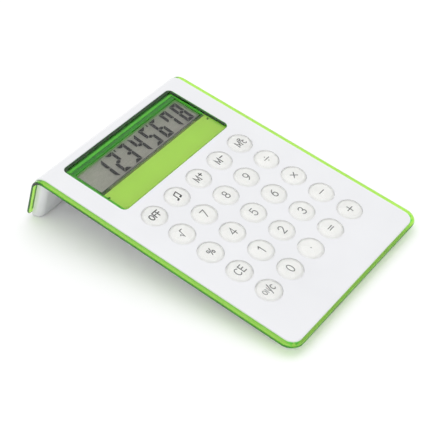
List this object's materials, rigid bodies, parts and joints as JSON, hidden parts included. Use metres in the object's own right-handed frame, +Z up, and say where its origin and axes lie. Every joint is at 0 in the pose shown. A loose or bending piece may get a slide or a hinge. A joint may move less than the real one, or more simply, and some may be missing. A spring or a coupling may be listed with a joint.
{
  "type": "desk calculator",
  "caption": "Slim desk calculator: bent slab of white covers round a clear green plate, domed clear keys and a display window, standing on a rear leg.",
  "frame": {"origin": "on the table, under the middle of the footprint", "axes": "+X to the user's right, +Y from the front edge to the leg, +Z up"},
  "size_m": [0.0984, 0.1444, 0.0266],
  "materials": {
    "white_plastic": "gloss",
    "green_clear": "clear gloss",
    "key_clear": "clear gloss",
    "glass": "clear",
    "lcd_film": "satin",
    "black_rubber": "matt",
    "silicone": "matt",
    "board": "satin",
    "black_resin": "satin",
    "ceramic": "matt",
    "brass": "satin",
    "wire_red": "satin",
    "steel": "satin"
  },
  "bodies": {
    "case": {"top_cover": "white_plastic", "trim_plate": "green_clear", "base_cover": "white_plastic", "display_frame": "white_plastic", "lcd_polariser": "lcd_film", "lcd_front_glass": "glass", "lcd_rear_glass": "glass", "lcd_reflector": "lcd_film", "lcd_connector": "black_rubber", "circuit_board": "board", "keypad_sheet": "silicone", "contact_pills": "black_rubber", "chip": "black_resin", "resistors": "black_resin", "capacitors": "ceramic", "buzzer_plate": "brass", "buzzer_ceramic": "ceramic", "buzzer_leads": "wire_red", "button_cell": "steel", "battery_contact_positive": "steel", "battery_contact_negative": "steel", "case_screws": "steel", "front_feet": "black_rubber", "rear_feet": "black_rubber"},
    "battery_door": {"battery_door": "white_plastic"},
    "key_off": {"key_off": "key_clear"},
    "key_music": {"key_music": "key_clear"},
    "key_m_plus": {"key_m_plus": "key_clear"},
    "key_m_minus": {"key_m_minus": "key_clear"},
    "key_mrc": {"key_mrc": "key_clear"},
    "key_root": {"key_root": "key_clear"},
    "key_7": {"key_7": "key_clear"},
    "key_8": {"key_8": "key_clear"},
    "key_9": {"key_9": "key_clear"},
    "key_divide": {"key_divide": "key_clear"},
    "key_percent": {"key_percent": "key_clear"},
    "key_4": {"key_4": "key_clear"},
    "key_5": {"key_5": "key_clear"},
    "key_6": {"key_6": "key_clear"},
    "key_multiply": {"key_multiply": "key_clear"},
    "key_ce": {"key_ce": "key_clear"},
    "key_1": {"key_1": "key_clear"},
    "key_2": {"key_2": "key_clear"},
    "key_3": {"key_3": "key_clear"},
    "key_minus": {"key_minus": "key_clear"},
    "key_on": {"key_on": "key_clear"},
    "key_0": {"key_0": "key_clear"},
    "key_point": {"key_point": "key_clear"},
    "key_equals": {"key_equals": "key_clear"},
    "key_plus": {"key_plus": "key_clear"}
  },
  "joints": [
    {"name": "key_off_press", "type": "slide", "parent": "case", "child": "key_off", "axis": [0, 0.1564, -0.9877], "range_m": [0, 0.0009], "stiffness_N_per_m": 650},
    {"name": "key_music_press", "type": "slide", "parent": "case", "child": "key_music", "axis": [0, 0.1564, -0.9877], "range_m": [0, 0.0009], "stiffness_N_per_m": 650},
    {"name": "key_m_plus_press", "type": "slide", "parent": "case", "child": "key_m_plus", "axis": [0, 0.1564, -0.9877], "range_m": [0, 0.0009], "stiffness_N_per_m": 650},
    {"name": "key_m_minus_press", "type": "slide", "parent": "case", "child": "key_m_minus", "axis": [0, 0.1564, -0.9877], "range_m": [0, 0.0009], "stiffness_N_per_m": 650},
    {"name": "key_mrc_press", "type": "slide", "parent": "case", "child": "key_mrc", "axis": [0, 0.1564, -0.9877], "range_m": [0, 0.0009], "stiffness_N_per_m": 650},
    {"name": "key_root_press", "type": "slide", "parent": "case", "child": "key_root", "axis": [0, 0.1564, -0.9877], "range_m": [0, 0.0009], "stiffness_N_per_m": 650},
    {"name": "key_7_press", "type": "slide", "parent": "case", "child": "key_7", "axis": [0, 0.1564, -0.9877], "range_m": [0, 0.0009], "stiffness_N_per_m": 650},
    {"name": "key_8_press", "type": "slide", "parent": "case", "child": "key_8", "axis": [0, 0.1564, -0.9877], "range_m": [0, 0.0009], "stiffness_N_per_m": 650},
    {"name": "key_9_press", "type": "slide", "parent": "case", "child": "key_9", "axis": [0, 0.1564, -0.9877], "range_m": [0, 0.0009], "stiffness_N_per_m": 650},
    {"name": "key_divide_press", "type": "slide", "parent": "case", "child": "key_divide", "axis": [0, 0.1564, -0.9877], "range_m": [0, 0.0009], "stiffness_N_per_m": 650},
    {"name": "key_percent_press", "type": "slide", "parent": "case", "child": "key_percent", "axis": [0, 0.1564, -0.9877], "range_m": [0, 0.0009], "stiffness_N_per_m": 650},
    {"name": "key_4_press", "type": "slide", "parent": "case", "child": "key_4", "axis": [0, 0.1564, -0.9877], "range_m": [0, 0.0009], "stiffness_N_per_m": 650},
    {"name": "key_5_press", "type": "slide", "parent": "case", "child": "key_5", "axis": [0, 0.1564, -0.9877], "range_m": [0, 0.0009], "stiffness_N_per_m": 650},
    {"name": "key_6_press", "type": "slide", "parent": "case", "child": "key_6", "axis": [0, 0.1564, -0.9877], "range_m": [0, 0.0009], "stiffness_N_per_m": 650},
    {"name": "key_multiply_press", "type": "slide", "parent": "case", "child": "key_multiply", "axis": [0, 0.1564, -0.9877], "range_m": [0, 0.0009], "stiffness_N_per_m": 650},
    {"name": "key_ce_press", "type": "slide", "parent": "case", "child": "key_ce", "axis": [0, 0.1564, -0.9877], "range_m": [0, 0.0009], "stiffness_N_per_m": 650},
    {"name": "key_1_press", "type": "slide", "parent": "case", "child": "key_1", "axis": [0, 0.1564, -0.9877], "range_m": [0, 0.0009], "stiffness_N_per_m": 650},
    {"name": "key_2_press", "type": "slide", "parent": "case", "child": "key_2", "axis": [0, 0.1564, -0.9877], "range_m": [0, 0.0009], "stiffness_N_per_m": 650},
    {"name": "key_3_press", "type": "slide", "parent": "case", "child": "key_3", "axis": [0, 0.1564, -0.9877], "range_m": [0, 0.0009], "stiffness_N_per_m": 650},
    {"name": "key_minus_press", "type": "slide", "parent": "case", "child": "key_minus", "axis": [0, 0.1564, -0.9877], "range_m": [0, 0.0009], "stiffness_N_per_m": 650},
    {"name": "key_on_press", "type": "slide", "parent": "case", "child": "key_on", "axis": [0, 0.1564, -0.9877], "range_m": [0, 0.0009], "stiffness_N_per_m": 650},
    {"name": "key_0_press", "type": "slide", "parent": "case", "child": "key_0", "axis": [0, 0.1564, -0.9877], "range_m": [0, 0.0009], "stiffness_N_per_m": 650},
    {"name": "key_point_press", "type": "slide", "parent": "case", "child": "key_point", "axis": [0, 0.1564, -0.9877], "range_m": [0, 0.0009], "stiffness_N_per_m": 650},
    {"name": "key_equals_press", "type": "slide", "parent": "case", "child": "key_equals", "axis": [0, 0.1564, -0.9877], "range_m": [0, 0.0009], "stiffness_N_per_m": 650},
    {"name": "key_plus_press", "type": "slide", "parent": "case", "child": "key_plus", "axis": [0, 0.1564, -0.9877], "range_m": [0, 0.0009], "stiffness_N_per_m": 650},
    {"name": "battery_door_lift", "type": "slide", "parent": "case", "child": "battery_door", "axis": [0, 0.1564, -0.9877], "range_m": [0, 0.01]}
  ]
}
